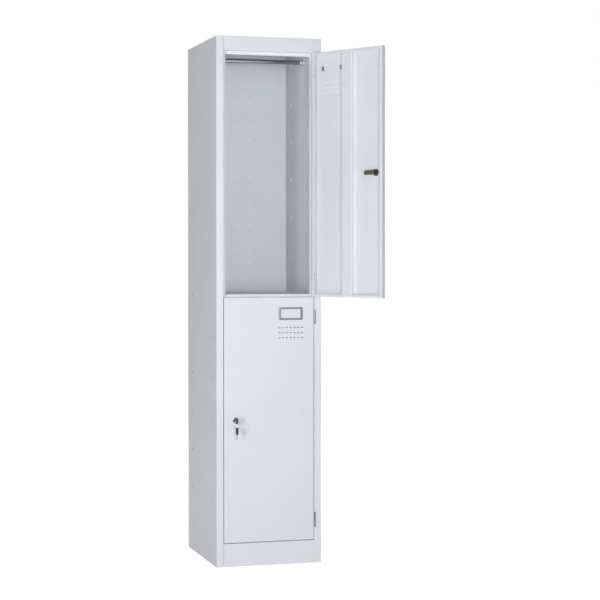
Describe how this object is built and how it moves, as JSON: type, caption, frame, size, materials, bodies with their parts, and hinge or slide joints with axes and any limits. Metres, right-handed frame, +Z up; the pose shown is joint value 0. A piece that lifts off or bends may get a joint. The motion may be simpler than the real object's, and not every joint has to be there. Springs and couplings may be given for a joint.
{
  "type": "school locker",
  "caption": "Two-tier school locker of folded steel sheet with hinged doors, cam locks with keys, hanging rods and a perforated back.",
  "frame": {"origin": "on the floor, at the middle of the plinth's foot flange, halfway between the side panels", "axes": "+X to the right as one faces the doors, +Y to the back, +Z up"},
  "size_m": [0.5198, 0.7451, 1.85],
  "materials": {
    "powder_coated_steel": "smooth light grey powder coat, satin",
    "zinc_plated_steel": "zinc plated, satin",
    "yellow_passivated_steel": "zinc plated, yellow passivated",
    "nickel_plated_steel": "nickel plated, semi-bright",
    "chromed_tube": "chromed tube, bright",
    "black_plastic": "moulded black plastic"
  },
  "bodies": {
    "carcass": {"left_side_panel": "powder_coated_steel", "right_side_panel": "powder_coated_steel", "back_panel": "powder_coated_steel", "top_panel": "powder_coated_steel", "bottom_panel": "powder_coated_steel", "plinth": "powder_coated_steel", "middle_shelf": "powder_coated_steel", "upper_hanging_rod": "chromed_tube", "upper_rod_socket_left": "zinc_plated_steel", "upper_rod_socket_right": "zinc_plated_steel", "upper_door_top_hinge_frame_leaf": "zinc_plated_steel", "upper_door_top_hinge_pin": "zinc_plated_steel", "upper_door_bottom_hinge_frame_leaf": "zinc_plated_steel", "upper_door_bottom_hinge_pin": "zinc_plated_steel", "lower_hanging_rod": "chromed_tube", "lower_rod_socket_left": "zinc_plated_steel", "lower_rod_socket_right": "zinc_plated_steel", "lower_door_top_hinge_frame_leaf": "zinc_plated_steel", "lower_door_top_hinge_pin": "zinc_plated_steel", "lower_door_bottom_hinge_frame_leaf": "zinc_plated_steel", "lower_door_bottom_hinge_pin": "zinc_plated_steel"},
    "upper_door": {"upper_door_panel": "powder_coated_steel", "upper_door_stiffener": "powder_coated_steel", "upper_label_holder": "nickel_plated_steel", "upper_lock_housing": "nickel_plated_steel", "upper_lock_nut": "yellow_passivated_steel", "upper_door_top_hinge_door_leaf": "zinc_plated_steel", "upper_door_bottom_hinge_door_leaf": "zinc_plated_steel"},
    "upper_lock": {"upper_lock_plug": "nickel_plated_steel", "upper_lock_cam": "yellow_passivated_steel", "upper_cam_screw": "yellow_passivated_steel"},
    "lower_door": {"lower_door_panel": "powder_coated_steel", "lower_door_stiffener": "powder_coated_steel", "lower_label_holder": "nickel_plated_steel", "lower_lock_housing": "nickel_plated_steel", "lower_lock_nut": "yellow_passivated_steel", "lower_door_top_hinge_door_leaf": "zinc_plated_steel", "lower_door_bottom_hinge_door_leaf": "zinc_plated_steel"},
    "lower_lock": {"lower_lock_plug": "nickel_plated_steel", "lower_lock_cam": "yellow_passivated_steel", "lower_cam_screw": "yellow_passivated_steel", "key_blade": "nickel_plated_steel", "key_head": "black_plastic"},
    "key_ring": {"key_ring": "nickel_plated_steel"},
    "spare_key": {"spare_key_blade": "nickel_plated_steel", "spare_key_head": "black_plastic"}
  },
  "joints": [
    {"name": "upper_door_swing", "type": "hinge", "parent": "carcass", "child": "upper_door", "pos_m": [0.1665, -0.0119, 1.36975], "axis": [0, 0, 1], "range_deg": [-120, 50]},
    {"name": "lower_door_swing", "type": "hinge", "parent": "carcass", "child": "lower_door", "pos_m": [0.1665, -0.0119, 0.51125], "axis": [0, 0, 1], "range_deg": [0, 170]},
    {"name": "upper_lock_turn", "type": "hinge", "parent": "upper_door", "child": "upper_lock", "pos_m": [0.31047, -0.26306, 1.36975], "axis": [-0.866, -0.5, 0], "range_deg": [0, 180]},
    {"name": "lower_lock_turn", "type": "hinge", "parent": "lower_door", "child": "lower_lock", "pos_m": [-0.123, -0.011, 0.51125], "axis": [0, 1, 0], "range_deg": [0, 180]},
    {"name": "key_ring_swing", "type": "hinge", "parent": "lower_lock", "child": "key_ring", "pos_m": [-0.123, -0.0377, 0.51125], "axis": [-1, 0, 0], "range_deg": [-10, 45]},
    {"name": "spare_key_swing", "type": "hinge", "parent": "key_ring", "child": "spare_key", "pos_m": [-0.123, -0.0377, 0.48435], "axis": [-1, 0, 0], "range_deg": [-5, 45]}
  ]
}
